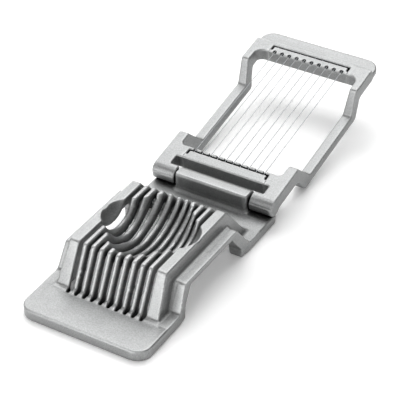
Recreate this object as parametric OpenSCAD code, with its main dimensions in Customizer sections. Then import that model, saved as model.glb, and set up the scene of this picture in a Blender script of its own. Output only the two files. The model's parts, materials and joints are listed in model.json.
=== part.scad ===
// Hinged egg slicer: a cast base with a slotted egg cup, and a cast frame that
// carries ten cutting wires and swings about a pin at the rear of the base.
// The origin is on the table, under the middle of the hinge axis. The base runs
// to -Y, the opened frame to +Y, and +Z is up.

/* [Whole slicer] */
// Distance from the hinge axis to the front edge of the base
base_reach = 136.6; // [134:0.1:140]
// Distance from the hinge axis to the rear edge of the base
base_tail = 3.5; // [2.5:0.1:4.5]
// Width of the wire frame across its two ends
frame_w = 77.8; // [74:0.1:84]
// Distance of the base's sides inside the frame's sides
base_inset = 0.6; // [0.3:0.1:1.5]
// Height of the hinge axis above the table
hinge_z = 11.55; // [11.55:0.05:12.5]
// Slope of the opened frame above the table
open_angle = 10.7; // [9.5:0.1:13]

/* [Base casting] */
// Length of the finger tab in front of the dome
tab_l = 25.5; // [22:0.1:28]
// Thickness of the finger tab
tab_t = 6.5; // [6:0.1:6.8]
// Thickness of the shelf that carries the hinge
shelf_t = 5.9; // [5.2:0.1:5.9]
// Radius of the front corners in plan
tab_corner_r = 8.5; // [5:0.5:12]
// Radius of the rear corners in plan
tail_corner_r = 3; // [1.5:0.5:3]
// Height of the two side ledges
ledge_z = 21.2; // [20:0.1:21.8]
// Distance of the ledges' sides inside the tab's sides
ledge_inset = 1.2; // [0.8:0.1:1.6]
// Distance from the front foot of the dome to the front foot of the ledges
ledge_setback = 10.6; // [9.5:0.1:12]
// Distance from the hinge axis to the rear foot of the ledges
ledge_rear = 27.9; // [27.3:0.1:29]
// Thickness of the ledges
ledge_t = 3.5; // [3:0.1:4.5]
// Thickness of the sloping legs under the ledges
leg_t = 6.1; // [4.5:0.1:7]
// Slope of all front walls
front_angle = 63; // [60:0.5:68]
// Slope of all rear walls
rear_angle = 51; // [50:0.5:54]
// Radius of the bends along the top of the base
crest_r = 2; // [1:0.1:3]
// Radius of the bends at the foot of the base's walls
foot_r = 2; // [1:0.1:2.5]

/* [Dome and cup] */
// Height of the slotted dome
dome_z = 29.5; // [28:0.1:31]
// Distance from the hinge axis to the rear foot of the dome
dome_rear = 19.7; // [19.4:0.1:22]
// Gap between the closed frame's arms and the foot of the dome
dome_gap = 0.7; // [0.5:0.1:1.2]
// Draft of the dome on each side
dome_draft = 2; // [1.5:0.1:3]
// Thickness of the dome's side webs and of its two side panels
web_t = 2.2; // [1.8:0.1:3]
// Depth of the ribs between the slots
rib_t = 5.5; // [4.5:0.1:6]
// Height of the raised line round the foot of the dome
skirt_h = 0.45; // [0.3:0.05:0.5]
// Distance of that raised line in front of the dome
skirt_front = 2.4; // [1.5:0.1:3]
// Width of the dome's flat top beside the cup
cup_rim = 1.1; // [1:0.1:2]
// Height of the middle of the cup's egg shapes above the dome
cup_rise = 6; // [5:0.1:7]
// Place of the cup along the dome's flat top, as a share from the rear
cup_share = 0.465; // [0.44:0.005:0.52]
// Diameter of the two egg shapes that cross in the cup
egg_d = 41.8; // [40:0.1:43]
// Radius of the ends of the egg shapes
egg_end_r = 16; // [15:0.1:17]

/* [Wires and slots] */
// Distance from the outermost wires to the dome's sides
dome_shoulder = 7.2; // [6.8:0.1:9]
// Diameter of one wire
wire_d = 0.4; // [0.4:0.05:0.6]
// Width of one slot
slot_w = 2; // [1.6:0.1:2.4]
// Length of a slot in front of the dome
slot_lead = 2.9; // [2:0.1:4]
// Depth of a wire in the near end of the frame
near_wire_drop = 1; // [0.8:0.1:1.4]
// Depth of a wire in the far end of the frame
far_wire_drop = 0.7; // [0.6:0.1:1.2]
// Length of wire held in each bar
wire_grip = 3.5; // [2.5:0.1:4]

/* [Hinge] */
// Diameter of the hinge pin
pin_d = 4; // [3.5:0.1:4.5]
// Gap round the pin in the base
pin_play = 0.05; // [0.02:0.01:0.08]
// Length of each outer knuckle on the frame
knuckle_l = 14.7; // [13:0.1:16]
// Radius of the outer corners of the knuckles in plan
knuckle_corner_r = 2.2; // [1:0.1:3]
// Height of the knuckles' parting line above the hinge axis
parting_rise = 2.6; // [2:0.1:3]
// Step in the knuckles' front at that line
parting_step = 0.35; // [0.2:0.05:0.5]
// Distance from the hinge axis to the front of the middle hinge block
block_front = 5.8; // [5:0.1:6.2]
// Height of the middle hinge block above the hinge axis
block_rise = 5.05; // [4.6:0.05:5.3]
// Radius of the upright front corners of the middle hinge block
block_corner_r = 2.5; // [1.5:0.1:3.5]
// Radius along the top front edge of the middle hinge block
block_crest_r = 1.2; // [0.8:0.1:1.6]
// Gap between the outer knuckles and the shelf
knuckle_lift = 0.3; // [0.3:0.05:0.5]
// Gap between the block and each outer knuckle
knuckle_gap = 0.9; // [0.5:0.1:1.2]
// Width of the raised line in front of the hinge block
bead_w = 1.2; // [0.8:0.1:1.6]
// Depth of the pin's outer end below the side of the frame
pin_inset = 0.4; // [0.2:0.1:1]

/* [Wire frame] */
// Gap between the closed frame and the shelf
shelf_gap = 0.45; // [0.4:0.01:0.6]
// Gap between the closed frame and the ledges
arm_gap = 1.45; // [1:0.05:2]
// Gap between the closed frame and the finger tab
end_gap = 1.1; // [1:0.05:1.5]
// Gap between the closed frame and the rear legs of the base
rear_gap = 0.4; // [0.35:0.05:0.8]
// Gap between the closed frame and the front legs of the base
front_gap = 1.2; // [0.8:0.1:1.6]
// Depth of the hinge end of the frame
near_t = 9; // [8:0.1:10]
// Thickness of the two arms
arm_t = 5.5; // [4.5:0.1:5.6]
// Thickness of the four sloping legs of the frame
frame_leg_t = 6.8; // [5.5:0.1:7.5]
// Extra thickness of the two near legs at their feet
near_flare = 2.7; // [1:0.1:3]
// Radius of the bends along the top of the frame
bend_r = 1.8; // [1:0.1:2.5]
// Radius of the bends along the underside of the frame
under_bend_r = 4; // [2:0.5:5]
// Depth of the far end of the frame
far_t = 8.4; // [7:0.1:9.5]
// Width of one arm along its top
arm_w = 6.2; // [5.5:0.1:6.6]
// Distance of the arms' outer sides inside the frame's sides
arm_draft = 0.3; // [0.1:0.1:0.5]
// Draft of the arms' inner sides, which widens them downwards
arm_slant = 1.2; // [0.6:0.1:1.4]
// Distance from the hinge axis to the window behind the block
window_near = 2.6; // [2:0.1:3]
// Length of that window
window_l = 6.7; // [6.6:0.1:7]
// Distance from the ends of that window to the frame's sides
window_end = 9.1; // [8:0.1:10]
// Gap between the dome's rear foot and the closed frame
rear_foot_gap = 0.9; // [0.6:0.1:1.2]
// Gap between the dome's sides and the near end of the wire opening
near_side_gap = 0.8; // [0.7:0.1:1.3]
// Gap between the dome's sides and the far end of the wire opening
far_side_gap = 2.2; // [1.8:0.1:2.8]
// Radius of the near corners of the wire opening
near_corner_r = 3; // [2:0.5:3.5]
// Radius of the far corners of the wire opening
far_corner_r = 5; // [3:0.5:7]
// Gap between the dome's front foot and the closed frame
front_foot_gap = 1.3; // [0.9:0.1:2]
// Length of the far end behind the wire opening
far_l = 9.7; // [8.5:0.1:10.5]
// Length of the finger tab on the frame
pull_l = 10.9; // [9:0.1:12]
// Step down to that finger tab
pull_step = 3.15; // [2.5:0.05:4]
// Thickness of that finger tab
pull_t = 4.2; // [3.5:0.1:5]
// Radius of that finger tab's corners
pull_corner_r = 8; // [5:0.5:10]

/* [Wire bars] */
// Length of each wire bar beyond the outermost wires
bar_end = 3.4; // [3:0.1:4]
// Depth of both wire bars
bar_t = 7.8; // [6.5:0.1:8]
// Open gap along one side of each wire bar
bar_gap = 1; // [0.6:0.1:1.2]
// Width of the rim beside the near wire bar
rim_w = 1.7; // [1.4:0.1:2]
// Width of the gripped part of the near wire bar
near_grip_w = 3.5; // [2.5:0.1:4.5]
// Width of the gripped part of the far wire bar
far_grip_w = 2.2; // [1.6:0.1:3]
// Width of the far wire bar
far_bar_w = 5.5; // [5:0.1:6]
// Width of one notch in the rim
notch_w = 1.2; // [0.8:0.1:1.6]
// Gap between a wire and the floor of its notch
notch_gap = 0.2; // [0.1:0.05:0.4]
// Radius of one slanting wire mouth in the far wire bar
mouth_r = 0.75; // [0.6:0.05:0.9]
// Depth of one mouth along its slant
mouth_depth = 2.5; // [2:0.1:3]
// Distance of a mouth's middle behind the top edge of the far wire bar
mouth_set = 0.25; // [0.1:0.05:0.4]

/* [Hidden] */
wire_names = [
    "wire_01", "wire_02", "wire_03", "wire_04", "wire_05",
    "wire_06", "wire_07", "wire_08", "wire_09", "wire_10"
];

$fn = 96;
arc_steps = 8;
bend_steps = 6;
egg_steps = 24;
wire_count = len(wire_names);
cast_colour = "#b9bab8";
steel_colour = "#d0d2d4";
// Overshoot of a cutting shape beyond the solid it cuts
cut = 1;

// Widths of the pieces, counted in from the sides of the frame
base_w = frame_w - 2 * base_inset;
ledge_w = base_w - 2 * ledge_inset;
dome_foot_w = frame_w - 2 * (arm_draft + arm_w + dome_gap);
dome_top_w = dome_foot_w - 2 * dome_draft;
wire_span = dome_top_w - 2 * dome_shoulder;
wire_pitch = wire_span / (wire_count - 1);
bar_l = wire_span + 2 * bar_end;
window_w = frame_w - 2 * window_end;
opening_near_w = dome_foot_w + 2 * near_side_gap;
opening_far_w = dome_foot_w + 2 * far_side_gap;
opening_arm_w = frame_w - 2 * (arm_draft + arm_w);
opening_low_w = opening_arm_w - 2 * arm_slant;
block_gap_w = frame_w - 2 * knuckle_l;
block_w = block_gap_w - 2 * knuckle_gap;
skirt_w = dome_foot_w + near_side_gap;

// Stations of the base, counted forward from the hinge axis
dome_front = base_reach - tab_l;
ledge_front = dome_front - ledge_setback;
dome_top_front = -front_y(dome_front, tab_t, dome_z, 0);
dome_top_rear = -rear_y(dome_rear, shelf_t, dome_z, 0);
cup_middle = dome_top_rear + cup_share * (dome_top_front - dome_top_rear);
cup_z = dome_z + cup_rise;

// Radii and half length of the egg shapes, whose ends meet their sides smoothly
egg_half = dome_top_w / 2 - cup_rim + egg_end_r - sqrt(egg_end_r ^ 2 - cup_rise ^ 2);
egg_end = egg_half - egg_end_r;
egg_side_r = (egg_end ^ 2 + (egg_d / 2) ^ 2 - egg_end_r ^ 2) / (egg_d - 2 * egg_end_r);
egg_turn = atan2(egg_end, egg_side_r - egg_d / 2);

// Levels of the frame, counted up from the hinge axis before it is tilted
knuckle_r = hinge_z - shelf_t - knuckle_lift;
plate_top = hinge_z - shelf_t - shelf_gap;
plate_low = plate_top - near_t;
arm_top = hinge_z - ledge_z - arm_gap;
arm_low = arm_top - arm_t;
end_top = hinge_z - tab_t - end_gap;
end_low = end_top - far_t;
pull_top = end_top - pull_step;
pull_low = pull_top - pull_t;

// Stations of the frame, counted along it from the hinge axis
near_leg_top = -rear_y(ledge_rear, shelf_t, hinge_z - plate_top, rear_gap);
near_leg_low = -rear_y(ledge_rear, shelf_t, hinge_z - arm_top, rear_gap);
far_leg_low = -front_y(ledge_front, tab_t, hinge_z - arm_top, front_gap);
far_leg_top = -front_y(ledge_front, tab_t, hinge_z - end_top, front_gap);
near_leg_run = frame_leg_t / sin(rear_angle);
far_leg_run = frame_leg_t / sin(front_angle);
near_foot_u = near_leg_low + arm_t / tan(rear_angle) - near_leg_run - near_flare;
near_plate_u = near_leg_top + near_t / tan(rear_angle) - near_leg_run;
far_foot_u = far_leg_low - arm_t / tan(front_angle) + far_leg_run;
far_end_u = far_leg_top - far_t / tan(front_angle) + far_leg_run;
opening_near = dome_rear - rear_foot_gap;
opening_far = dome_front + front_foot_gap;
frame_end = opening_far + far_l;
pull_end = frame_end + pull_l;
window_far = window_near + window_l;
near_bar_far = opening_near - rim_w - bar_gap;
far_bar_far = opening_far + far_bar_w;
near_bar_low = plate_top - bar_t;
far_bar_low = end_top - bar_t;
near_wire_w = plate_top - near_wire_drop;
far_wire_w = end_top - far_wire_drop;
pin_reach = frame_w / 2 - pin_inset;
pin_blind = frame_w / 2 - knuckle_r / 2;

// Y of a front wall at height z, moved out by grow
function front_y(foot, foot_z, z, grow) =
    -foot - grow / sin(front_angle) + (z - foot_z) / tan(front_angle);

// Y of a rear wall at height z, moved out by grow
function rear_y(foot, foot_z, z, grow) =
    -foot + grow / sin(rear_angle) - (z - foot_z) / tan(rear_angle);

// Points of an arc about a centre, from one angle to another
function arc(centre, r, from, to) = [
    for (i = [0 : arc_steps])
        let (a = from + (to - from) * i / arc_steps)
            [centre[0] + r * cos(a), centre[1] + r * sin(a)]
];

// Arc points that round the corner at b between a and c. Each point is
// [x, y] or [x, y, radius], and a corner without a radius stays sharp.
function bend(a, b, c) =
    let (
        to_a = [a[0] - b[0], a[1] - b[1]],
        to_c = [c[0] - b[0], c[1] - b[1]],
        ua = to_a / norm(to_a),
        uc = to_c / norm(to_c),
        half = acos(ua * uc) / 2,
        middle = (ua + uc) / norm(ua + uc),
        r = b[2],
        centre = [b[0], b[1]] + middle * r / sin(half),
        turn = cross(ua, uc) > 0 ? 1 : -1,
        from = atan2(-middle[1], -middle[0]) + turn * (90 - half)
    )
    [
        for (i = [0 : bend_steps])
            let (angle = from - turn * (180 - 2 * half) * i / bend_steps)
                centre + r * [cos(angle), sin(angle)]
    ];

// Outline whose corners are rounded by their third value
function rounded(path) =
    let (n = len(path))
    [
        for (i = [0 : n - 1])
            let (b = path[i])
                each len(b) < 3 ? [b] : bend(path[(i + n - 1) % n], b, path[(i + 1) % n])
    ];

// Side outline of a hump on level ground that runs on to two ends
function hump(front_end, front_foot, front_z, rear_end, rear_foot, rear_z, top, grow) = [
    [-front_end, 0],
    [-front_end, front_z],
    [front_y(front_foot, front_z, front_z, grow), front_z, foot_r],
    [front_y(front_foot, front_z, top, grow), top, crest_r + grow],
    [rear_y(rear_foot, rear_z, top, grow), top, crest_r + grow],
    [rear_y(rear_foot, rear_z, rear_z, grow), rear_z, foot_r],
    [-rear_end, rear_z],
    [-rear_end, 0]
];

// Side outline of the space under a hump, moved in by a wall's thickness
function hollow(front_foot, front_z, rear_foot, rear_z, top, wall) = [
    [front_y(front_foot, front_z, front_z, -wall), -cut],
    [front_y(front_foot, front_z, front_z, -wall), front_z],
    [front_y(front_foot, front_z, top, -wall), top],
    [rear_y(rear_foot, rear_z, top, -wall), top],
    [rear_y(rear_foot, rear_z, rear_z, -wall), rear_z],
    [rear_y(rear_foot, rear_z, rear_z, -wall), -cut]
];

// Point of an egg's half outline where it faces the angle a, moved out by grow
function egg_point(a, grow) =
    let (
        side = abs(a) < egg_turn,
        r = grow + (side ? egg_side_r : egg_end_r),
        centre = side ? [egg_d / 2 - egg_side_r, 0] : [0, sign(a) * egg_end]
    )
    centre + r * [cos(a), sin(a)];

function wire_x(i) = i * wire_pitch - wire_span / 2;

// Extrudes a side outline across the slicer
module across(w) {
    rotate([90, 0, 90])
        translate([0, 0, -w / 2])
            linear_extrude(w)
                children();
}

// Block between two corner points
module box(low, high) {
    translate(low)
        cube(high - low);
}

// Block of a given width, centred across the slicer
module bar_box(w, y_from, y_to, z_from, z_to) {
    box([-w / 2, y_from, z_from], [w / 2, y_to, z_to]);
}

// Puts a shape made flat about the hinge axis into the opened position
module opened() {
    translate([0, 0, hinge_z])
        rotate([open_angle, 0, 0])
            children();
}

// Puts copies of a shape at every wire
module at_wires() {
    for (i = [0 : wire_count - 1])
        translate([wire_x(i), 0, 0])
            children();
}

// Outline of the base seen from above, narrower along the ledges
module base_plan() {
    half = base_w / 2;
    waist = ledge_w / 2;
    tail = base_tail - tail_corner_r;
    nose = tab_corner_r - base_reach;
    front_top = front_y(ledge_front, tab_t, ledge_z, 0);
    rear_top = rear_y(ledge_rear, shelf_t, ledge_z, 0);
    polygon(concat(
        arc([half - tail_corner_r, tail], tail_corner_r, 0, 90),
        arc([tail_corner_r - half, tail], tail_corner_r, 90, 180),
        [[-half, -ledge_rear], [-waist, rear_top]],
        [[-waist, front_top], [-half, -ledge_front]],
        arc([tab_corner_r - half, nose], tab_corner_r, 180, 270),
        arc([half - tab_corner_r, nose], tab_corner_r, 270, 360),
        [[half, -ledge_front], [waist, front_top]],
        [[waist, rear_top], [half, -ledge_rear]]
    ));
}

// Tab, ledges and shelf as one bent plate of full width
module bent_plate() {
    intersection() {
        translate([0, 0, -cut])
            linear_extrude(dome_z)
                base_plan();
        across(base_w)
            polygon(rounded(hump(base_reach, ledge_front, tab_t,
                -base_tail, ledge_rear, shelf_t, ledge_z, 0)));
    }
}

// Front view of the dome, with drafted sides, made slimmer by inset
module dome_front_view(inset) {
    foot = dome_foot_w / 2 - inset;
    top = dome_top_w / 2 - inset;
    polygon([[-foot, 0], [foot, 0], [top, dome_z], [-top, dome_z]]);
}

// Shape with the dome's drafted sides and a side outline of its own
module drafted(inset) {
    intersection() {
        across(base_w)
            children();
        rotate([90, 0, 0])
            linear_extrude(base_reach)
                dome_front_view(inset);
    }
}

// Dome body with sloping front and rear and drafted sides
module dome_body() {
    drafted(0)
        polygon(rounded(hump(dome_front + foot_r, dome_front, tab_t,
            dome_rear - foot_r, dome_rear, shelf_t, dome_z, 0)));
}

// Thin raised line that follows the ledges round the foot of the dome
module skirt() {
    across(skirt_w)
        polygon(rounded(hump(dome_front + skirt_front, ledge_front, tab_t + skirt_h,
            dome_rear - skirt_h, ledge_rear, shelf_t + skirt_h, ledge_z + skirt_h, skirt_h)));
}

// Cup that takes an egg lengthwise or crosswise, or a larger shape round it
module cup(grow) {
    translate([0, -cup_middle, cup_z])
        for (turn = [0, 90])
            rotate([90, 0, turn])
                rotate_extrude()
                    polygon([
                        for (i = [0 : egg_steps])
                            egg_point(180 * i / egg_steps - 90, grow)
                    ]);
}

// Space under the dome for a given thickness of its top and slopes
module dome_space(wall) {
    drafted(web_t)
        polygon(hollow(dome_front, tab_t, dome_rear, shelf_t, dome_z - wall, wall));
}

// Space under the base, kept clear of the ribs and of the shell round the cup
module under_space() {
    difference() {
        union() {
            across(base_w + 2 * cut)
                polygon(hollow(ledge_front, tab_t, ledge_rear, shelf_t, ledge_z - ledge_t, leg_t));
            dome_space(web_t);
        }
        cup(web_t);
        difference() {
            bar_box(wire_span, -dome_front, -dome_rear, 0, dome_z);
            dome_space(rib_t);
        }
        intersection() {
            cup(rib_t);
            bar_box(wire_span, -dome_front, -dome_rear, 0, dome_z);
        }
    }
}

// One slot, rounded in plan at its front and rear end
module slot() {
    front = slot_w / 2 - dome_front - slot_lead;
    rear = -dome_rear - slot_w / 2;
    translate([0, 0, -cut]) {
        translate([0, front, 0])
            cylinder(h = dome_z + 2 * cut, d = slot_w);
        translate([0, rear, 0])
            cylinder(h = dome_z + 2 * cut, d = slot_w);
        translate([-slot_w / 2, front, 0])
            cube([slot_w, rear - front, dome_z + 2 * cut]);
    }
}

// Outline of the hinge block seen from above, grown to the front and sides
module block_plan(rear, grow) {
    half = block_w / 2 + grow;
    front = -block_front - grow;
    r = block_corner_r + grow;
    polygon(rounded([[half, rear], [-half, rear], [-half, front, r], [half, front, r]]));
}

// Middle hinge block with rounded upright front corners and a line at its foot
module hinge_block() {
    linear_extrude(shelf_t + skirt_h)
        block_plan(block_corner_r - block_front, bead_w);
    intersection() {
        across(block_w)
            union() {
                translate([0, hinge_z])
                    circle(block_rise);
                translate([-block_front, 0])
                    square([block_front + base_tail, hinge_z]);
                polygon(rounded([
                    [-block_front, 0],
                    [0, 0],
                    [0, hinge_z + block_rise],
                    [-block_front, hinge_z + block_rise, block_crest_r]
                ]));
            }
        linear_extrude(hinge_z + block_rise)
            block_plan(block_rise, 0);
    }
}

module base_casting() {
    color(cast_colour)
        difference() {
            union() {
                difference() {
                    union() {
                        bent_plate();
                        skirt();
                        dome_body();
                    }
                    under_space();
                }
                hinge_block();
            }
            cup(0);
            at_wires()
                slot();
            translate([-block_w / 2 - cut, 0, hinge_z])
                rotate([0, 90, 0])
                    cylinder(h = block_w + 2 * cut, d = pin_d + 2 * pin_play);
        }
}

// Side outline of the frame from the hinge end to the finger tab
module frame_side() {
    polygon(rounded([
        [0, plate_top],
        [near_leg_top, plate_top, bend_r],
        [near_leg_low, arm_top, bend_r],
        [far_leg_low, arm_top, bend_r],
        [far_leg_top, end_top, bend_r],
        [frame_end, end_top],
        [frame_end, pull_top],
        [pull_end, pull_top],
        [pull_end, pull_low],
        [frame_end, pull_low],
        [frame_end, end_low],
        [far_end_u, end_low, bend_r],
        [far_foot_u, arm_low, under_bend_r],
        [near_foot_u, arm_low, under_bend_r],
        [near_plate_u, plate_low, under_bend_r],
        [0, plate_low]
    ]));
}

// Outline of the frame seen from above, narrower along the arms
module frame_plan() {
    half = frame_w / 2;
    waist = half - arm_draft;
    tip = pull_end - pull_corner_r;
    nose = knuckle_corner_r - knuckle_r;
    polygon(concat(
        arc([knuckle_corner_r - half, nose], knuckle_corner_r, 180, 270),
        arc([half - knuckle_corner_r, nose], knuckle_corner_r, 270, 360),
        [[half, near_leg_top], [waist, near_leg_low]],
        [[waist, far_leg_low], [half, far_leg_top]],
        arc([half - pull_corner_r, tip], pull_corner_r, 0, 90),
        arc([pull_corner_r - half, tip], pull_corner_r, 90, 180),
        [[-half, far_leg_top], [-waist, far_leg_low]],
        [[-waist, near_leg_low], [-half, near_leg_top]]
    ));
}

// Outline of the wire opening seen from above
module opening_plan() {
    near = opening_near_w / 2;
    far = opening_far_w / 2;
    polygon(rounded([
        [-near, opening_near, near_corner_r],
        [near, opening_near, near_corner_r],
        [near, near_leg_top],
        [far, near_leg_low],
        [far, opening_far, far_corner_r],
        [-far, opening_far, far_corner_r],
        [-far, near_leg_low],
        [-near, near_leg_top]
    ]));
}

// Wire opening, with inner sides that lean in towards the arms' underside
module wire_opening() {
    low = opening_low_w / 2;
    middle = opening_arm_w / 2;
    high = opening_far_w / 2;
    intersection() {
        translate([0, 0, -frame_w])
            linear_extrude(2 * frame_w)
                opening_plan();
        translate([0, pull_end, 0])
            rotate([90, 0, 0])
                linear_extrude(pull_end)
                    polygon([
                        [-low, arm_low - cut], [low, arm_low - cut],
                        [low, arm_low], [middle, arm_top],
                        [high, end_top], [high, plate_top + cut],
                        [-high, plate_top + cut], [-high, end_top],
                        [-middle, arm_top], [-low, arm_low]
                    ]);
    }
}

// Knuckle pair at the hinge end, with the plate's flat top and a parting line
module knuckles() {
    across(frame_w) {
        intersection() {
            circle(knuckle_r);
            translate([-knuckle_r, -knuckle_r])
                square([2 * knuckle_r, knuckle_r + parting_rise]);
        }
        intersection() {
            circle(knuckle_r - parting_step);
            translate([-knuckle_r, 0])
                square([2 * knuckle_r, plate_top]);
        }
    }
}

// Near wire bar: a wide gripped part and a narrower part with open gaps
module near_bar_shape(grow) {
    step = window_far + near_grip_w;
    bar_box(bar_l, window_far, step, near_bar_low, plate_top);
    bar_box(bar_l - 2 * bar_gap + 2 * grow, window_far, near_bar_far + grow,
        near_bar_low, plate_top);
}

// Far wire bar: a wide gripped part and a narrower part with open gaps
module far_bar_shape(grow) {
    step = opening_far + far_grip_w;
    bar_box(bar_l, opening_far, step, far_bar_low, end_top);
    bar_box(bar_l - 2 * bar_gap + 2 * grow, opening_far, far_bar_far + grow,
        far_bar_low, end_top);
}

// Straight run of one wire between two stations of the frame
module wire_run(d) {
    from = near_bar_far - wire_grip;
    to = opening_far + mouth_depth + wire_grip;
    rise = far_wire_w - near_wire_w;
    run = to - from;
    translate([0, from, near_wire_w])
        rotate([atan2(rise, run) - 90, 0, 0])
            cylinder(h = norm([rise, run]), d = d, $fn = 24);
}

// One notch in the rim beside the near wire bar
module notch() {
    bottom = near_wire_w - wire_d / 2 - notch_gap;
    bar_box(notch_w, opening_near - rim_w - bar_gap, opening_near + cut,
        bottom, plate_top + cut);
}

// One slanting mouth above a wire in the far wire bar
module wire_mouth() {
    translate([0, opening_far + mouth_set, end_top])
        rotate([45, 0, 0])
            translate([0, 0, -mouth_depth])
                cylinder(h = mouth_depth + cut, r = mouth_r);
}

module frame_casting() {
    color(cast_colour)
        opened()
            difference() {
                intersection() {
                    union() {
                        across(frame_w)
                            frame_side();
                        knuckles();
                    }
                    translate([0, 0, -frame_w])
                        linear_extrude(2 * frame_w)
                            frame_plan();
                }
                wire_opening();
                bar_box(block_gap_w, -knuckle_r - cut, window_near + cut,
                    -knuckle_r - cut, plate_top + cut);
                bar_box(window_w, window_near, window_far,
                    -knuckle_r - cut, plate_top + cut);
                near_bar_shape(bar_gap);
                far_bar_shape(bar_gap);
                at_wires()
                    notch();
                rotate([0, 90, 0])
                    translate([0, 0, -frame_w / 2 - cut])
                        cylinder(h = pin_blind + frame_w / 2 + cut, d = pin_d);
            }
}

module hinge_pin() {
    color(steel_colour)
        opened()
            rotate([0, 90, 0])
                translate([0, 0, -pin_reach])
                    cylinder(h = pin_blind + pin_reach, d = pin_d);
}

module near_wire_bar() {
    color(cast_colour)
        opened()
            difference() {
                near_bar_shape(0);
                at_wires()
                    wire_run(wire_d);
            }
}

module far_wire_bar() {
    color(cast_colour)
        opened()
            difference() {
                far_bar_shape(0);
                at_wires() {
                    wire_run(wire_d);
                    wire_mouth();
                }
            }
}

module wire(i) {
    color(steel_colour)
        opened()
            translate([wire_x(i), 0, 0])
                wire_run(wire_d);
}

base_casting();
frame_casting();
hinge_pin();
near_wire_bar();
far_wire_bar();
for (i = [0 : wire_count - 1])
    wire(i);
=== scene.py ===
import bmesh
import bpy
import json
import math
from mathutils import Matrix, Vector


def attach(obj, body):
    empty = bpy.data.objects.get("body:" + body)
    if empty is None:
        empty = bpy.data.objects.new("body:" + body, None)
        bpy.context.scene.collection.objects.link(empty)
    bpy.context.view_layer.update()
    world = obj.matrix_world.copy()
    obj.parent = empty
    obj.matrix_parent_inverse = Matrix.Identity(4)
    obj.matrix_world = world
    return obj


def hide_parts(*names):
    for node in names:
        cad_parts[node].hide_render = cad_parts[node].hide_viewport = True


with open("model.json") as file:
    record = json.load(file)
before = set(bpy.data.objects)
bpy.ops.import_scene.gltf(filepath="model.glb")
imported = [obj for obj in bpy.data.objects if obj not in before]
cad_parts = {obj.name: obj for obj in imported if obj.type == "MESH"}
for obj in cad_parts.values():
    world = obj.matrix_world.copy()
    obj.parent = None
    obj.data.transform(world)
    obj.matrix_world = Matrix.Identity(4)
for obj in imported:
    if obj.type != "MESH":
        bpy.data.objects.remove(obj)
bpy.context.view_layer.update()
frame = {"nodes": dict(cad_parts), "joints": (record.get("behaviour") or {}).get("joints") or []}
solids = frame["nodes"]
hinge = frame["joints"][0]

# A millimetre in Blender's metres; lengths below are in millimetres and angles in degrees
MM = 0.001
# Cells in which the edges of the castings are rolled over
CELL = 0.34 * MM

# Radii of inner corners and of outer edges: the base, its ribs, and its crisp steps and feet
BASE_R = (0.5, 0.75)
RIB_R = (0.5, 1.0)
STEP_R = (0.15, 0.3)
# The same for the wire frame and for the two wire bars let into it
FRAME_R = (0.1, 0.65)
BAR_R = (0.1, 0.25)
# How far round a wire bar its own skin reaches into the gap beside it
BAR_REACH = 0.45

# Blocks of space on the base, as low and high corners: the slotted middle of the dome, the
# right ledge, and the feet of the hinge block and of the dome's front
RIBS = ((-22.5, -114.5, -3), (22.5, -18.3, 33))
LEDGE = ((29, -113, 4), (40, -17, 24))
BLOCK_FOOT = ((-31, -8.6, 4), (31, -4.5, 9))
DOME_FOOT = ((-31, -115, 5), (31, -112, 8))
# Blocks of space round the near and the far wire bar of the opened frame
NEAR_BAR = ((-29, 8, 0), (29, 22, 26))
FAR_BAR = ((-29, 108, 20), (29, 125, 45))
# Groove that the mould's parting leaves across the fronts of the knuckles
PARTING_GROOVE = ((-39.5, -6, 12.7), (39.5, -4.6, 13.2))

# The wires lie at one pitch on both sides of the middle
WIRE_COUNT = 10
WIRE_PITCH = 5
WIRE_X = [WIRE_PITCH * (i - (WIRE_COUNT - 1) / 2) for i in range(WIRE_COUNT)]
# Slanting bores above the wires in the far bar, placed from the hinge axis along the frame
# and square to it
MOUTH_R = 1.05
MOUTH_DEPTH = 5
MOUTH_SLANT = 45
MOUTH_Y = 114.4
MOUTH_Z = 2.5
# Pockets round the wires in the rim beside the near bar, placed in the same way
POCKET_SIZE = (1.8, 1.9, 6)
POCKET_Y = 17.2
POCKET_Z = 3.2

# Faces that each skin keeps
BASE_FACES = 100000
FRAME_FACES = 80000
BAR_FACES = 24000

# The photograph's view: where its camera stands, what it looks at, and its lens
VIEW_AZIMUTH = 30.5701
VIEW_ELEVATION = 35.8612
VIEW_DISTANCE = 895.4577
VIEW_TARGET = (-1.7827, -13.3734, 10.3847)
LENS = 144.8917
SENSOR_W = 36

# Lamps of the light tent: name, azimuth, elevation and watts
LAMPS = (("front_low", 345, 12, 27), ("front_right", 45, 40, 6), ("back_high", 190, 65, 20),
         ("back_left_low", 225, 12, 9), ("back_left", 225, 48, 9), ("left", 270, 40, 7))
LAMP_W = 1300
LAMP_DISTANCE = 1900
# Share of plain white light that the walls of the tent give, and half the table's width
TENT_LIGHT = 0.2
TABLE_REACH = 3000


def linear(code):
    """Linear colour of an sRGB hex value."""
    parts = [int(code[i:i + 2], 16) / 255 for i in (1, 3, 5)]
    parts = [p / 12.92 if p <= 0.04045 else ((p + 0.055) / 1.055) ** 2.4 for p in parts]
    return (*parts, 1)


def add(tree, kind, links=(), **settings):
    """Adds one node with its settings, and its links as pairs of an input and a source.

    An input is named by its number, its identifier or its name.
    """
    node = tree.nodes.new(kind)
    for name, value in settings.items():
        if hasattr(node, name):
            setattr(node, name, value)
    sockets = dict(enumerate(node.inputs))
    sockets.update({socket.identifier: socket for socket in node.inputs})
    sockets.update({socket.name: socket for socket in reversed(node.inputs) if socket.enabled})
    for name, value in settings.items():
        if not hasattr(node, name):
            sockets[name].default_value = value
    for name, source in links:
        tree.links.new(source, sockets[name])
    return node


def placed(name, data):
    """A new object in the scene."""
    made = bpy.data.objects.new(name, data)
    bpy.context.scene.collection.objects.link(made)
    return made


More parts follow.
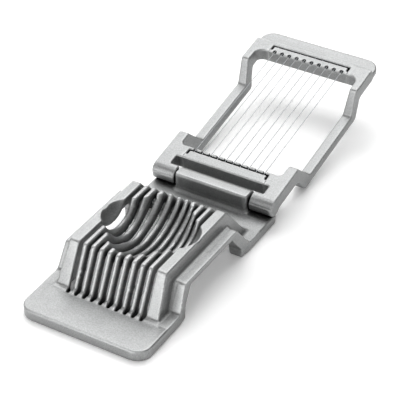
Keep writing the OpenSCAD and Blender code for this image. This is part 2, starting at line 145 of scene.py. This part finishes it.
def towards(azimuth, elevation):
    """Direction from the slicer to a place round it: azimuth 0 is the front, 90 the right."""
    az, el = math.radians(azimuth), math.radians(elevation)
    return Vector((math.sin(az) * math.cos(el), -math.cos(az) * math.cos(el), math.sin(el)))


def sdf(tree, mesh, reach=0.0):
    """Distance grid of a mesh, exact as far as reach from its surface."""
    return add(tree, "GeometryNodeMeshToSDFGrid", [("Mesh", mesh)],
               **{"Voxel Size": CELL, "Band Width": int(abs(reach) / CELL) + 3}).outputs[0]


def level(tree, grid, distance=0.0):
    """Mesh of all points at one distance from the surface that a grid was made from."""
    return add(tree, "GeometryNodeGridToMesh", [("Grid", grid)],
               Threshold=distance, Adaptivity=0.0).outputs[0]


def joined(tree, operation, *grids):
    """Union or intersection of grids."""
    if len(grids) == 1:
        return grids[0]
    return add(tree, "GeometryNodeSDFGridBoolean", operation=operation,
               links=[("Grid 2", grid) for grid in grids]).outputs[0]


def less(tree, grid, *others):
    """A grid without the space of other grids."""
    for other in others:
        grid = add(tree, "GeometryNodeSDFGridBoolean", operation="DIFFERENCE",
                   links=[("Grid 1", grid), ("Grid 2", other)]).outputs[0]
    return grid


def block_grid(tree, low, high):
    """Distance grid of a block between two corners."""
    block = add(tree, "GeometryNodeMeshCube", Size=(Vector(high) - Vector(low)) * MM)
    block = add(tree, "GeometryNodeTransform", [("Geometry", block.outputs[0])],
                Translation=(Vector(low) + Vector(high)) / 2 * MM)
    return sdf(tree, block.outputs[0])


def object_mesh(tree, source):
    """Mesh socket of an object."""
    return add(tree, "GeometryNodeObjectInfo", Object=source).outputs["Geometry"]


def rolled_edges(tree, meshes, radii):
    """Joins meshes, fills inner corners to the first radius and rolls edges to the second."""
    inner_r, edge_r = radii
    for step in (inner_r * MM, -(inner_r + edge_r) * MM, edge_r * MM):
        meshes = [level(tree, joined(tree, "UNION", *[sdf(tree, m, step) for m in meshes]), step)]
    return sdf(tree, meshes[0])


def evaluated(piece):
    """Mesh of a piece after its modifiers."""
    bpy.context.view_layer.update()
    depsgraph = bpy.context.evaluated_depsgraph_get()
    return bpy.data.meshes.new_from_object(piece.evaluated_get(depsgraph), depsgraph=depsgraph)


def shaped(name, mesh, build):
    """Mesh that the geometry nodes added by build(tree, mesh socket) make of a mesh."""
    tree = bpy.data.node_groups.new(name, "GeometryNodeTree")
    tree.interface.new_socket("Geometry", in_out="INPUT", socket_type="NodeSocketGeometry")
    tree.interface.new_socket("Geometry", in_out="OUTPUT", socket_type="NodeSocketGeometry")
    grid = build(tree, add(tree, "NodeGroupInput").outputs[0])
    add(tree, "NodeGroupOutput", [("Geometry", level(tree, grid))])
    holder = placed(name, mesh)
    holder.modifiers.new("shape", "NODES").node_group = tree
    made = evaluated(holder)
    bpy.data.objects.remove(holder)
    return made


def rolled(names, radii, zones, cuts=(), wells=None):
    """Solids joined into one skin with rolled edges, with other radii within zones.

    A zone is (radii, blocks). Cuts are blocks that are taken away, and wells is an object.
    """
    def build(tree, mesh):
        parts = [mesh] + [object_mesh(tree, solids[name]) for name in names[1:]]
        whole = rolled_edges(tree, parts, radii)
        for zone_radii, blocks in zones:
            block = joined(tree, "UNION", *[block_grid(tree, *corners) for corners in blocks])
            inside = rolled_edges(tree, parts, zone_radii)
            whole = joined(tree, "UNION", less(tree, whole, block),
                           joined(tree, "INTERSECT", inside, block))
        cutters = [block_grid(tree, *corners) for corners in cuts]
        if wells:
            cutters.append(sdf(tree, object_mesh(tree, wells)))
        return less(tree, whole, *cutters)

    return shaped(names[0] + "_edges", solids[names[0]].data.copy(), build)


def skin(name, body, mesh, faces):
    """Visible piece that stands in for a solid, thinned to a number of triangles."""
    piece = placed(name + "_skin", mesh)
    # The mesh has four-sided faces, each worth two triangles
    piece.modifiers.new("thin", "DECIMATE").ratio = min(1, faces / (2 * len(mesh.polygons)))
    piece.data = evaluated(piece)
    piece.modifiers.clear()
    piece.data.shade_smooth()
    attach(piece, body)
    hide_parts(name)
    return piece


def wire_wells():
    """Dark wells round the wires: slanting bores at the far bar, pockets at the near bar."""
    wells = bmesh.new()
    # Closed, the frame lies level, so what its travel lacks to half a turn is its open slope
    slope = math.radians(180 - hinge["range_deg"][1])
    open_frame = (Matrix.Translation(Vector(hinge["pos_m"]))
                  @ Matrix.Rotation(slope, 4, "X"))
    for x in WIRE_X:
        slant = (Matrix.Translation(Vector((x, MOUTH_Y, MOUTH_Z)) * MM)
                 @ Matrix.Rotation(math.radians(MOUTH_SLANT), 4, "X"))
        bmesh.ops.create_cone(wells, cap_ends=True, segments=24, radius1=MOUTH_R * MM,
                              radius2=MOUTH_R * MM, depth=MOUTH_DEPTH * MM,
                              matrix=open_frame @ slant)
        pocket = (Matrix.Translation(Vector((x, POCKET_Y, POCKET_Z)) * MM)
                  @ Matrix.Diagonal(Vector((*POCKET_SIZE, 1))))
        bmesh.ops.create_cube(wells, size=MM, matrix=open_frame @ pocket)
    mesh = bpy.data.meshes.new("wire_wells")
    wells.to_mesh(mesh)
    return placed("wire_wells", mesh)


def base_skin():
    """Base casting, with softer ribs and with crisper ledges and feet."""
    (right, front, low), (edge, rear, high) = LEDGE
    left_ledge = ((-edge, front, low), (-right, rear, high))
    zones = [(RIB_R, [RIBS]), (STEP_R, [LEDGE, left_ledge, BLOCK_FOOT, DOME_FOOT])]
    return skin("base_casting", "base",
                rolled(("base_casting",), BASE_R, zones), BASE_FACES)


def frame_skins():
    """Wire frame with both wire bars: rolled as one, then parted halfway into their gaps."""
    bars = ("near_wire_bar", "far_wire_bar")
    wells = wire_wells()
    whole = rolled(("frame_casting",) + bars, FRAME_R, [(BAR_R, [NEAR_BAR, FAR_BAR])],
                   [PARTING_GROOVE], wells)
    bpy.data.objects.remove(wells)

    def grown(tree, name):
        reach = BAR_REACH * MM
        return sdf(tree, level(tree, sdf(tree, object_mesh(tree, solids[name]), reach), reach))

    casting = shaped("frame_part", whole, lambda tree, mesh: less(
        tree, sdf(tree, mesh), *[grown(tree, name) for name in bars]))
    pieces = [skin("frame_casting", "wire_frame", casting, FRAME_FACES)]
    for name in bars:
        bar = shaped(name + "_part", whole, lambda tree, mesh: joined(
            tree, "INTERSECT", sdf(tree, mesh), grown(tree, name)))
        pieces.append(skin(name, "wire_frame", bar, BAR_FACES))
    return pieces


def bare_stuff(name):
    """A new material and its node tree, still without nodes."""
    stuff = bpy.data.materials.new(name)
    stuff.use_nodes = True
    stuff.node_tree.nodes.clear()
    return stuff, stuff.node_tree


def painted_shade_in_gaps(tree, colour):
    """A metal's colour with painted shade: darkened towards near black in gaps and bores that are
    narrow against their depth.
    """
    open_share = add(tree, "ShaderNodeAmbientOcclusion", Distance=5 * MM).outputs["AO"]
    gap_shade = add(tree, "ShaderNodeMapRange", [("Value", open_share)],
                 **{"From Min": 0.22, "From Max": 0.52, "To Min": 1.0, "To Max": 0.0})
    # Painted shade colour, near black, mixed in where the gap is deep
    return add(tree, "ShaderNodeMix", [("Factor", gap_shade.outputs[0]), ("A", colour)],
               data_type="RGBA", B=linear("#121212")).outputs[2]


def blasted_aluminium():
    """Cast aluminium, tumbled with fine grit: satin grey, brighter at rubbed edges with a painted
    highlight there, and with painted shade in inner corners and narrow gaps.
    """
    stuff, tree = bare_stuff("blasted_cast_aluminium")
    place = add(tree, "ShaderNodeTexCoord").outputs["Object"]
    # The grit leaves dents of about 0.1 mm, drawn at 0.75 mm so that they show
    grain = add(tree, "ShaderNodeTexNoise", [("Vector", place)], Scale=1 / (0.75 * MM),
                Detail=3.0, Roughness=0.6)
    # Flow marks and uneven tumbling, about 9 mm across
    cloud = add(tree, "ShaderNodeTexNoise", [("Vector", place)], Scale=1 / (9 * MM),
                Detail=2.0, Roughness=0.5)
    # Rolled edges stand out to the grit and are rubbed brighter, with a painted highlight added
    # on them; inner corners are darkened with painted shade
    curvature = add(tree, "ShaderNodeNewGeometry").outputs["Pointiness"]
    wear_and_highlight = add(tree, "ShaderNodeMapRange", [("Value", curvature)],
               **{"From Min": 0.5, "From Max": 0.56, "To Min": 0.0, "To Max": 1.0})
    # Painted shade: inner corners turn a darker grey
    corner_shade = add(tree, "ShaderNodeMapRange", [("Value", curvature)],
               **{"From Min": 0.44, "From Max": 0.5, "To Min": 1.0, "To Max": 0.0})
    tone = add(tree, "ShaderNodeMix", [("Factor", cloud.outputs["Fac"])], data_type="RGBA",
               A=linear("#8c8d8d"), B=linear("#999a9a"))
    # Edge wear and painted highlight: rolled edges turn a lighter grey
    worn_and_highlit = add(tree, "ShaderNodeMix", [("Factor", wear_and_highlight.outputs[0]), ("A", tone.outputs[2])],
                 data_type="RGBA", B=linear("#bebfbf"))
    corner_shaded = add(tree, "ShaderNodeMix", [("Factor", corner_shade.outputs[0]), ("A", worn_and_highlit.outputs[2])],
               data_type="RGBA", B=linear("#6a6a69"))
    # Painted shade: narrow gaps and bores are darkened where little light gets in
    gap_shaded = painted_shade_in_gaps(tree, corner_shaded.outputs[2])
    speck = add(tree, "ShaderNodeMapRange", [("Value", grain.outputs["Fac"])],
                **{"From Min": 0.3, "From Max": 0.7, "To Min": 0.8, "To Max": 1.2})
    grey = add(tree, "ShaderNodeVectorMath", [(0, gap_shaded), ("Scale", speck.outputs[0])],
               operation="SCALE")
    rough = add(tree, "ShaderNodeMapRange", [("Value", grain.outputs["Fac"])],
                **{"From Min": 0.3, "From Max": 0.7, "To Min": 0.42, "To Max": 0.54})
    dents = add(tree, "ShaderNodeBump", [("Height", grain.outputs["Fac"])],
                Strength=0.6, Distance=0.15 * MM)
    surface = add(tree, "ShaderNodeBsdfPrincipled",
                  [("Base Color", grey.outputs[0]), ("Roughness", rough.outputs[0]),
                   ("Normal", dents.outputs[0])], Metallic=1.0)
    add(tree, "ShaderNodeOutputMaterial", [("Surface", surface.outputs[0])])
    return stuff


def steel(name, low, high, roughness, grain_mm):
    """Bare steel between two tones, with a faint unevenness as wide as its grain."""
    stuff, tree = bare_stuff(name)
    place = add(tree, "ShaderNodeTexCoord").outputs["Object"]
    grain = add(tree, "ShaderNodeTexNoise", [("Vector", place)], Scale=1 / (grain_mm * MM),
                Detail=2.0)
    tone = add(tree, "ShaderNodeMix", [("Factor", grain.outputs["Fac"])], data_type="RGBA",
               A=linear(low), B=linear(high))
    rough = add(tree, "ShaderNodeMapRange", [("Value", grain.outputs["Fac"])],
                **{"To Min": roughness, "To Max": roughness + 0.12})
    dents = add(tree, "ShaderNodeBump", [("Height", grain.outputs["Fac"])],
                Strength=0.1, Distance=0.02 * MM)
    # Painted shade: steel inside a bore is darkened where little light gets in
    gap_shaded = painted_shade_in_gaps(tree, tone.outputs[2])
    surface = add(tree, "ShaderNodeBsdfPrincipled",
                  [("Base Color", gap_shaded), ("Roughness", rough.outputs[0]),
                   ("Normal", dents.outputs[0])], Metallic=1.0)
    add(tree, "ShaderNodeOutputMaterial", [("Surface", surface.outputs[0])])
    return stuff


def paper():
    """Matt white paper on the table, a little lifted to the camera so that it ends in white."""
    stuff = bpy.data.materials.new("white_table")
    stuff.use_nodes = True
    tree = stuff.node_tree
    sheet = tree.nodes["Principled BSDF"].inputs
    sheet["Base Color"].default_value = linear("#fdfdfd")
    sheet["Roughness"].default_value = 0.95
    sheet["Emission Color"].default_value = linear("#ffffff")
    seen = add(tree, "ShaderNodeLightPath").outputs["Is Camera Ray"]
    lift = add(tree, "ShaderNodeMath", [(0, seen)], operation="MULTIPLY")
    lift.inputs[1].default_value = 0.1
    tree.links.new(lift.outputs[0], sheet["Emission Strength"])
    return stuff


def dress(piece, stuff):
    """Gives a piece one material."""
    piece.data.materials.clear()
    piece.data.materials.append(stuff)


def camera():
    """Camera at the photograph's place, upright."""
    az = math.radians(VIEW_AZIMUTH)
    back = towards(VIEW_AZIMUTH, VIEW_ELEVATION)
    right = Vector((math.cos(az), math.sin(az), 0))
    turn = Matrix((right, back.cross(right), back)).transposed().to_4x4()
    data = bpy.data.cameras.new("camera")
    data.sensor_width = SENSOR_W
    data.lens = LENS
    view = placed("camera", data)
    place = Vector(VIEW_TARGET) * MM + VIEW_DISTANCE * MM * back
    view.matrix_world = Matrix.Translation(place) @ turn
    bpy.context.scene.camera = view


def softbox(name, azimuth, elevation, watts):
    """Large soft lamp that faces the slicer."""
    data = bpy.data.lights.new(name, "AREA")
    data.size = LAMP_W * MM
    data.energy = watts
    lamp = placed(name, data)
    way = towards(azimuth, elevation)
    lamp.location = way * LAMP_DISTANCE * MM
    lamp.rotation_euler = (-way).to_track_quat("-Z", "Y").to_euler()


def tent():
    """White walls of the light tent."""
    world = bpy.data.worlds.new("studio")
    bpy.context.scene.world = world
    world.use_nodes = True
    walls = world.node_tree.nodes["Background"].inputs
    walls["Color"].default_value = linear("#ffffff")
    walls["Strength"].default_value = TENT_LIGHT


def floor():
    """Plain pale table that the slicer stands on."""
    reach = TABLE_REACH * MM
    mesh = bpy.data.meshes.new("table")
    corners = [(-reach, -reach, 0), (reach, -reach, 0), (reach, reach, 0), (-reach, reach, 0)]
    mesh.from_pydata(corners, [], [(0, 1, 2, 3)])
    table = placed("table", mesh)
    dress(table, paper())


camera()
floor()
for lamp in LAMPS:
    softbox(*lamp)
tent()
bpy.context.scene.view_settings.view_transform = "Standard"

cast = blasted_aluminium()
for piece in [base_skin()] + frame_skins():
    dress(piece, cast)
# The die leaves wire smooth but not polished, so it takes soft, even highlights
wire_stuff = steel("drawn_stainless_wire", "#a4a6a8", "#b4b6b8", 0.5, 2)
# Grinding leaves the pin brighter and finer
pin_stuff = steel("ground_steel_pin", "#b8babc", "#c8cacc", 0.3, 1)
for name, node in solids.items():
    if name.startswith("wire_"):
        dress(node, wire_stuff)
dress(solids["hinge_pin"], pin_stuff)
